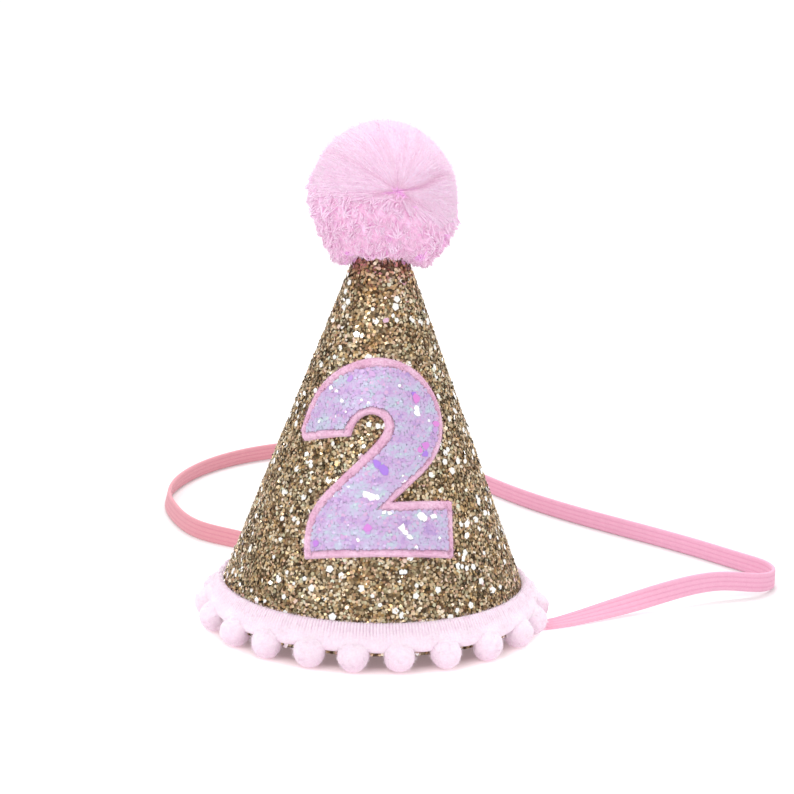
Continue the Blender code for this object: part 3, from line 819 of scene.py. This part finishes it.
PAINTED_GLINTS = [  # white flakes as painted glints: place on the number in millimetres and radius
    (-14, 49, 1), (-13.2, 47.9, 0.7), (11, 42.6, 0.9), (11.4, 41.2, 1.1), (-9.7, 44, 0.6),
    (-2, 18, 0.9), (-0.6, 17.5, 1.2), (0.7, 17.2, 0.8), (-10.5, 17.8, 1), (3, 13, 0.6),
    (4.4, 12.9, 0.6), (13.2, 12.4, 1.1), (14.4, 12, 0.8), (17, 12.8, 0.9), (8, 9, 1.1),
    (9, 7.9, 0.9), (10.2, 6.6, 0.8), (-10.5, 2.9, 0.8), (12.1, 3.9, 0.6), (6, 48.6, 0.5),
    (-16.6, 38.4, 0.5), (15.4, 29.6, 0.6), (-4, 5.2, 0.5), (18.9, 6.8, 0.5)]
SHARDS = [  # place, radius and tone: violet about 0.72, magenta about 0.82, rosy 0.64
    (11, 45.4, 1.2, 0.82), (10.4, 46.6, 0.8, 0.72), (17.6, 38.7, 1.1, 0.82),
    (17.2, 37.1, 0.9, 0.66), (14.3, 32.4, 1.3, 0.8), (14, 30, 1, 0.72),
    (12.4, 31.2, 0.9, 0.82), (2.7, 24.6, 1.6, 0.72), (0.4, 26.8, 1.1, 0.72), (1.2, 25.6, 1, 0.7),
    (-1.5, 8.8, 1, 0.8), (-1.3, 7.6, 0.8, 0.66), (20, 3.9, 1.1, 0.82), (19, 3.2, 0.8, 0.8),
    (-16, 4.2, 1, 0.76), (-7.5, 50.2, 0.9, 0.68), (-1.5, 51.6, 0.9, 0.64),
    (-8, 6, 0.7, 0.64), (10.8, 19.6, 0.9, 0.64), (-17.6, 35.8, 0.8, 0.64),
    (5.8, 6.2, 0.6, 0.64)]


def big_flakes(inner, mat):
    """Larger sequin-like pieces: white ones as painted glints, and violet or magenta shards."""
    placed = np.array([(*sparkle, GLINT_WHITE_TONE) for sparkle in PAINTED_GLINTS] + SHARDS)
    placed = within(placed, inner, 0.5)
    spots, sizes, tone = placed[:, :2], placed[:, 2] * MM, placed[:, 3]
    normals = tilted(face_normal(spots), np.abs(rng.normal(0, 0.06, len(spots))))
    places = on_number(spots, SEQUIN_LIFT * MM + rng.uniform(0, 0.06, len(spots)) * MM)
    chips("number_sequins", places, normals, sizes, FLAKE_THICK, tone, mat, 7,
          0.38)


def felt_fuzz(outline, inner, mat):
    """Short loose fibres on the felt's border."""
    spots = rng.uniform(outline.min(0), outline.max(0), (FELT_FIBRES, 2))
    spots = spots[inside(spots, outline) & ~inside(spots, inner)]
    edge = np.clip(to_outline(spots, outline) / 1.2, 0, 1)
    roots = on_number(spots, (0.3 + FELT_RISE * dome(edge)) * MM)
    normals = tilted(face_normal(spots), rng.uniform(0.5, 1.6, len(spots)))
    made = fibres(roots, normals, rng.uniform(0.4, 1, len(spots)) * MM, 0.5, 0.045 * MM)
    add_piece("number_felt_fuzz", made[0], made[1:], mat, "hat")


# ---- pompom fringe

def ball_share(degrees):
    """1 over a ball's middle, falling to 0 between two balls."""
    away = np.mod(degrees - FIRST_BALL + BALL_PITCH / 2, BALL_PITCH) - BALL_PITCH / 2
    return np.exp(-(away * math.radians(BALL_RING) / (3.1 * MM)) ** 2)


def braid(mat):
    """Gimp braid: ribbed across, scalloped along its top, draped over each ball below."""
    steps = BRAID_RIBS * 6
    degrees = LAP_EDGE + BRAID_GAP + (360 - 2 * BRAID_GAP) * np.arange(steps + 1) / steps
    w = ball_share(degrees)
    rib = np.abs(np.sin(np.radians(degrees) * BRAID_RIBS / 2)) ** 0.6
    lap = lap_rise(degrees) / MM
    rows = []
    tones = []
    for radius, z, out_at_ball, up_at_ball, up_at_rib, shown in BRAID_PATH:
        radius = radius + out_at_ball * w
        z = z + up_at_ball * w + up_at_rib * rib
        radius = (radius + 0.8 * lap) * MM + (rib - 0.5) * RIB_DEPTH * shown * RIB_OUT
        rows.append(polar(degrees, radius, z * MM + (rib - 0.5) * RIB_DEPTH * shown * RIB_UP))
        tones.append(shown * (1 - rib))
    points = np.stack(rows, 1)
    # The tone drops in the grooves between ribs, patchily: painted shade.
    painted_shade = ripple(points.reshape(-1, 3), (0.8 * MM, 1.9 * MM), 21)
    tones = 0.86 - 0.75 * np.stack(tones, 1).ravel() * np.clip(0.55 + 0.5 * painted_shade, 0.05, 1)
    rough = ripple(points.reshape(-1, 3), (0.9 * MM, 1.7 * MM), 12).reshape(points.shape[:2])
    points += unit(polar(degrees, 1, 0.7))[:, None] * (rough * 0.09 * MM)[..., None]
    add_piece("braid", points.reshape(-1, 3), swept_faces(*points.shape[:2], 1), mat, "hat",
              ["trim_braid"], tones)


def braid_fuzz(mat):
    """Loose threads on the braid."""
    degrees = rng.uniform(0, 360, BRAID_THREADS)
    share = rng.uniform(0, 1, BRAID_THREADS)
    radius, z = (np.interp(share, BRAID_FACE[0], column) for column in BRAID_FACE[1:])
    hood = ball_share(degrees)
    radius = radius + hood * np.clip(share - 0.65, 0, 1) * 2.2
    roots = polar(degrees, (radius + 0.8 * lap_rise(degrees) / MM) * MM, z * MM)
    outward = tilted(unit(polar(degrees, 1, 0.9)), rng.uniform(0.3, 1.2, BRAID_THREADS))
    made = fibres(roots, outward, rng.uniform(0.35, 0.95, BRAID_THREADS) * MM, 0.6)
    add_piece("braid_fuzz", made[0], made[1:], mat, "hat", (),
              np.full(len(made[0]), 0.9))


def ball_mesh(level):
    bm = bmesh.new()
    bmesh.ops.create_icosphere(bm, subdivisions=level, radius=1)
    points = np.array([v.co[:] for v in bm.verts])
    faces = np.array([[v.index for v in f.verts] for f in bm.faces])
    bm.free()
    return points, faces


def pressed_ball(shape, stretch):
    """A ball as an egg that leans back under the braid and rests on the table."""
    up = np.clip(shape[:, 2:], 0, 1)
    local = shape * stretch * MM
    local[:, :1] -= BALL_LEAN * up ** 2
    local[:, 2] = np.maximum(local[:, 2] + BALL_LIFT, BALL_FLAT_Z - BALL_Z)
    return local


def fringe_balls(mat):
    """Soft chenille balls, each a little different, reaching up under the braid."""
    shape, faces = ball_mesh(5)
    for i in range(BALLS):
        degrees = FIRST_BALL + i * BALL_PITCH + STRAY.get(i, 0)
        rough = ripple(shape, (0.35, 0.6), 100 + i) * 0.022 + ripple(shape, (1.2,), 200 + i) * 0.03
        stretch = BALL_SHAPE * rng.uniform(0.97, 1.03, 3)
        local = pressed_ball(shape * (1 + rough)[:, None], stretch)
        turn = math.radians(degrees - 90)
        spin = np.array(((math.cos(turn), math.sin(turn), 0), (-math.sin(turn), math.cos(turn), 0),
                         (0, 0, 1)))
        middle = polar(degrees, BALL_RING, BALL_Z)
        body = local @ spin + middle
        roots_of = unit(rng.normal(size=(BALL_HAIRS, 3)))
        roots_of = roots_of[roots_of[:, 2] > -0.85]
        roots = pressed_ball(roots_of * 0.97, stretch) @ spin + middle
        outward = tilted(roots_of @ spin, rng.uniform(0.2, 1, len(roots_of)))
        hair = fibres(roots, outward, rng.uniform(0.4, 0.85, len(roots)) * MM, 0.6)
        hair[0][:, 2] = np.maximum(hair[0][:, 2], 0.02 * MM)
        points = np.concatenate((body, hair[0]))
        groups = [faces, *(group + len(body) for group in hair[1:])]
        # Each ball's tone is darker towards its bottom, painted shade underneath, and a little
        # lower on top to meet the braid's tone.
        tones = np.concatenate((0.55 + 0.45 * np.clip(0.5 + shape[:, 2], 0, 1)
                                - 0.16 * np.clip(shape[:, 2] * 1.4 - 0.2, 0, 1),
                                np.full(len(hair[0]), 0.95)))
        add_piece(f"fringe_ball_{i + 1:02d}", points, groups, mat, "hat",
                  [f"trim_pompom_{i + 1:02d}"], tones)


# ---- yarn pompom

def slerp(start, end, share):
    """Unit vectors part of the way round from start to end."""
    angle = np.arccos(np.clip((start * end).sum(-1), -1, 1))[..., None]
    sine = np.maximum(np.sin(angle), 1e-6)
    return (np.sin((1 - share) * angle) * start + np.sin(share * angle) * end) / sine


def sphere_spots(count):
    """Evenly spread directions."""
    i = np.arange(count) + 0.5
    z = 1 - 2 * i / count
    turn = math.pi * (1 + 5 ** 0.5) * i
    flat = np.sqrt(1 - z * z)
    return np.stack((flat * np.cos(turn), flat * np.sin(turn), z), 1)


def star_frame(ways):
    """Angle from the parting's centre, and the way round it, in degrees."""
    parting = unit(PARTING)
    right = unit(np.cross(parting, [0, 0, -1]))
    top = np.cross(parting, right)
    angle = np.degrees(np.arccos(np.clip(ways @ parting, -1, 1)))
    turn = np.degrees(np.arctan2(ways @ top, ways @ right))
    return angle, turn


def creases(ways):
    """How deep the parting's lines cut at each direction, 0 to about 1."""
    angle, turn = star_frame(ways)
    total = 0.9 * np.exp(-(angle / 7) ** 2)
    for at, reach, width, depth in STAR_LINES:
        off = np.mod(turn - at + 6 * np.sin(angle / 9) + 180, 360) - 180
        narrow = np.exp(-(off / (width * (0.6 + 6 / (angle + 4)))) ** 2)
        total += depth * narrow * np.clip(1.25 - angle / reach, 0, 1)
    return np.minimum(total, 1.15)


def tufted(ways):
    """1 over the short tufts below the parting and at the back, 0 where strands are combed."""
    angle, _ = star_frame(ways)
    line = np.interp(ways[:, 0], (-1, -0.3, 0.25, 0.8), (0.11, 0.07, -0.01, -0.3))
    line = line + 0.1 * ripple(ways, (0.22, 0.5), 57)
    low = np.clip((line - ways[:, 2]) / 0.4 + 0.5, 0, 1)
    return np.maximum(low, np.clip((angle - 95) / 30, 0, 1))


def pompom_floor(ways):
    """How far below the pompom's middle its yarn hangs: less at the front than at the sides."""
    front = np.degrees(np.arctan2(np.abs(ways[:, 0]), -ways[:, 1]))
    return np.interp(front, (0, 40, 70, 180), (15.3, 15.6, 19.5, 20.2))


def pompom_reach(ways):
    """The yarn's outer surface from the pompom's middle: round, full below, hollow over the tip."""
    drop = np.degrees(np.arccos(np.clip(ways[:, 2], -1, 1)))
    side = np.clip(ways[:, 0] * 1.2, 0, 1)
    reach = (1 + 0.15 * np.exp(-((drop - 150) / 15) ** 2)
             + 0.075 * side * np.exp(-((drop - 122) / 20) ** 2)
             + 0.018 * ripple(ways, (0.7, 1.2), 31))
    down = np.maximum(-ways[:, 2], 0.2)
    low = pompom_floor(ways)
    hollow = np.interp(drop, (0, 150, 161, 180), (0, 0, 1, 1))
    low = low + (np.minimum(low, 16.6) - low) * hollow
    return np.minimum(reach * POM_RADIUS, low * MM / down) - 1.2 * MM * creases(ways)


def pompom_body(mat):
    """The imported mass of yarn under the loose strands."""
    shape, faces = ball_mesh(6)
    loose = tufted(shape)
    angle, turn = star_frame(shape)
    turn = np.radians(turn)
    streaks = sum(np.sin(k * turn + 0.9 * k + 0.02 * k * angle / 9) for k in STREAKS) / 2.6
    streaks = streaks * np.clip(angle / 25, 0, 1) * (1 - loose)
    tufts = ripple(shape, (0.1, 0.17), 44) * loose
    reach = pompom_reach(shape) - 0.55 * MM + 0.13 * MM * streaks + 0.6 * MM * tufts
    # Darker in the parting's creases and among the tufts, lighter on raised tufts: painted shade.
    tone = 0.84 + 0.08 * streaks + 0.3 * tufts - 0.34 * loose - 0.8 * creases(shape)
    add_piece("pompom_yarn", POM_MIDDLE + shape * reach[:, None], [faces], mat, "pompom",
              ["yarn_pompom", "pompom_tie"], np.clip(tone, 0, 1))


def pompom_strands(mat):
    """Loose strands: long and combed away from the parting above, short clumped tufts below."""
    count, steps = POM_STRANDS, 4
    tips = unit(sphere_spots(count) + rng.normal(0, 0.03, (count, 3)))
    loose = (tufted(tips) > rng.uniform(0.15, 0.85, count))[:, None]
    clumps = unit(sphere_spots(POM_CLUMPS) + rng.normal(0, 0.035, (POM_CLUMPS, 3)))
    belongs = np.argmax(tips @ clumps.T, axis=1)
    near = clumps[belongs]
    lifted = (0.45 * rng.normal(size=POM_CLUMPS))[belongs][:, None]
    angle, _ = star_frame(tips)
    long = rng.uniform(12, 28, count)
    back = np.clip(np.minimum(long, angle - 1.5) / np.maximum(angle, 1e-3), 0, 1)
    combed = slerp(tips, np.broadcast_to(unit(PARTING), tips.shape), back[:, None])
    risen = unit(tips + np.array([0, 0, 0.07]) + rng.normal(0, 0.06, (count, 3)))
    roots = np.where(loose, risen, combed)
    ends = unit(np.where(loose, 0.42 * tips + 0.58 * near, tips))
    t = np.linspace(0, 1, steps)
    ways = slerp(roots[:, None], ends[:, None], t[None, :, None])
    reach = pompom_reach(ways.reshape(-1, 3)).reshape(count, steps)
    low, high = np.where(loose, -1.9, -0.55), np.where(loose, 0.3 + lifted, 0)
    uneven = rng.normal(0, 1, count)[:, None] * np.where(loose, 0.15, 0.05)
    rise = low + (high - low) * t[None] ** 0.75 + uneven * t[None]
    lines = POM_MIDDLE + ways * (reach + rise * MM)[..., None]
    sway = unit(rng.normal(size=(count, 3))) * np.where(loose, 0.4, 0.15) * MM
    lines += sway[:, None] * (t ** 2)[None, :, None]
    tuft, comb = (np.interp(t, STRAND_ALONG, radii) for radii in (TUFT_RADII, COMBED_RADII))
    thick = np.where(loose, tuft[None], comb[None])
    radii = thick * MM * rng.uniform(0.75, 1.2, count)[:, None]
    points, quads, caps = tubes(lines, radii, 4)
    patch = 0.18 * rng.normal(size=POM_CLUMPS)[belongs] + 0.16 * ripple(tips, (0.13, 0.25), 71)
    turn = np.radians(star_frame(tips)[1])
    bands = 0.05 * (np.sin(9 * turn + 1) + np.sin(17 * turn) + np.sin(31 * turn + 2))
    own = np.where(loose[:, 0], patch, bands)[:, None] + rng.normal(0, 0.02, count)[:, None]
    pale = 0.1 * np.exp(-((tips[:, 2:] + 0.12) / 0.22) ** 2)
    # Tufts darker at their roots, and all strands darker in the parting's creases and towards the
    # bottom: painted shade.
    tone = np.where(loose, 0.46 + pale + 0.4 * t[None] ** 1.1, 0.86 + 0.06 * t[None]) + own
    tone = tone - 0.8 * creases(ways.reshape(-1, 3)).reshape(count, steps)
    tone = tone - 0.35 * np.clip((-ways[..., 2] - 0.45) / 0.4, 0, 1)
    add_piece("pompom_strands", points, [quads, caps], mat, "pompom", (),
              np.repeat(np.clip(tone, 0, 1).ravel(), 4))


def pompom_skirt(mat):
    """Strands under the pompom that hang round the cone's tip."""
    count, steps = POM_SKIRT, 5
    degrees = rng.uniform(0, 360, count)
    t = np.linspace(0, 1, steps)[None]
    hang = pompom_floor(polar(degrees, 1, 0)) + rng.uniform(-1.6, 0.6, count)
    radius = rng.uniform(8.8, 10.4, count)[:, None] + 1.4 * np.sin(t * 1.9) - 0.7
    radius = radius - 0.18 * np.maximum(0, 19 - hang)[:, None]
    z = POM_MIDDLE[2] + (rng.uniform(3, 5, count)[:, None] * (1 - t) ** 1.2
                         - hang[:, None]) * MM
    lines = polar(degrees[:, None] + rng.normal(0, 3, count)[:, None] * t, radius * MM, z)
    radii = np.interp(t, (0, 0.6, 1), (0.3, 0.28, 0.1)) * MM
    points, quads, caps = tubes(lines, np.broadcast_to(radii, lines.shape[:2]), 4)
    # Darker towards the root, under the pompom: painted shade.
    tone = np.clip(0.25 + 0.5 * np.repeat(np.broadcast_to(t, lines.shape[:2]).ravel(), 4), 0, 1)
    add_piece("pompom_skirt", points, [quads, caps], mat, "pompom", (), tone)


def pompom_fuzz(mat):
    """Fine hairs standing out of the yarn's surface."""
    ways = unit(rng.normal(size=(POM_FUZZ, 3)))
    ways = ways[ways[:, 2] > -0.92]
    roots = POM_MIDDLE + ways * (pompom_reach(ways) - 0.3 * MM)[:, None]
    outward = tilted(ways, rng.uniform(0.5, 1.8, len(ways)))
    made = fibres(roots, outward, rng.uniform(0.7, 1.8, len(ways)) * MM, 0.7)
    # Darker in the parting's creases and towards the bottom: painted shade.
    tone = 0.9 - 0.7 * creases(ways) - 0.3 * np.clip((-ways[:, 2] - 0.3) / 0.5, 0, 1)
    add_piece("pompom_fuzz", made[0], made[1:], mat, "pompom", (),
              np.repeat(np.clip(tone, 0, 1), 9))


# ---- the whole hat

aim_camera()
elastic_band(elastic_material())
studio()
glitter_sheet(glitter_base())
glitter_flakes(glitter_flake())
pink_felt = felt_material("pink_felt", (0.76, 0.41, 0.59), (0.93, 0.67, 0.83))
number(pink_felt, face_base(), face_flake())
trim = yarn_material("pale_pink_trim", TRIM, 1800, 0.2, 0.07)
braid(trim)
braid_fuzz(trim)
fringe_balls(trim)
yarn = yarn_material("pink_yarn", YARN, 1500, 0.4, 0.13)
pompom_body(yarn)
pompom_strands(yarn)
pompom_skirt(yarn)
pompom_fuzz(yarn)
cream_felt = felt_material("cream_felt", (0.62, 0.57, 0.5), (0.86, 0.82, 0.75))
tie = felt_material("pink_tie", (0.8, 0.5, 0.72), (0.95, 0.72, 0.9), 2200)
for names, mat, slot in ((("cone_liner", "tip_anchor"), cream_felt, "liner_felt"),
                         (("tie_knot", "tie_tail"), tie, "tie_yarn"),
                         (("strap_patch_right", "strap_patch_left"), pink_felt, "patch_felt")):
    for name in names:
        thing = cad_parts[name]
        thing.data.materials.clear()
        thing.data.materials.append(mat)
